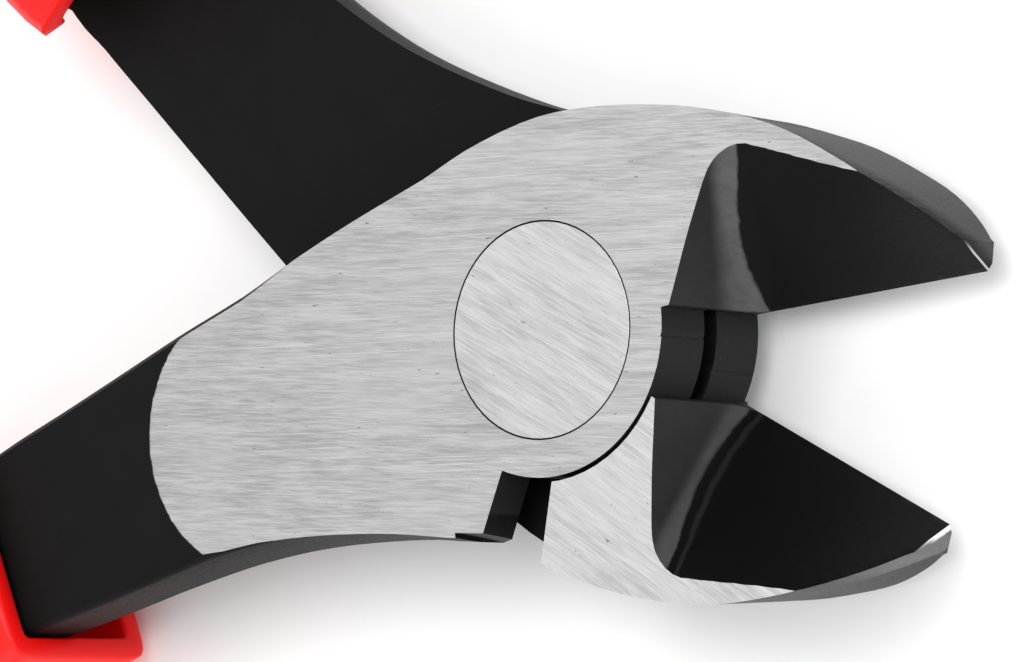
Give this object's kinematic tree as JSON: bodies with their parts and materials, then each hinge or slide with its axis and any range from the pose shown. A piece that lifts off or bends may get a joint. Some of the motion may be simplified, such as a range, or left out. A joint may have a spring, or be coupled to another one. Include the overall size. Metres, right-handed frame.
{
  "type": "diagonal cutting pliers",
  "caption": "Diagonal cutting pliers with blackened forged levers, bright ground joint faces, one lap rivet and red moulded grips, jaws standing open.",
  "frame": {"origin": "centre of the rivet's back face", "axes": "+X along the bisector of the jaws, from the rivet to the tips; +Y towards the front lever's jaw; +Z along the rivet's axis, towards the front face"},
  "size_m": [0.1854, 0.1479, 0.0165],
  "materials": {
    "lever_steel": "black oxide, with ground bright faces at the joint",
    "rivet_steel": "ground bright",
    "grip_red": "smooth, slightly glossy",
    "grip_soft": "matte"
  },
  "bodies": {
    "front_handle": {"front_lever": "lever_steel", "front_grip": "grip_red", "front_grip_pad": "grip_soft"},
    "back_handle": {"back_lever": "lever_steel", "back_grip": "grip_red", "back_grip_pad": "grip_soft", "joint_rivet": "rivet_steel"}
  },
  "joints": [
    {"name": "jaw_hinge", "type": "hinge", "parent": "front_handle", "child": "back_handle", "pos_m": [0, 0, 0], "axis": [0, 0, 1], "range_deg": [-19, 34]}
  ]
}
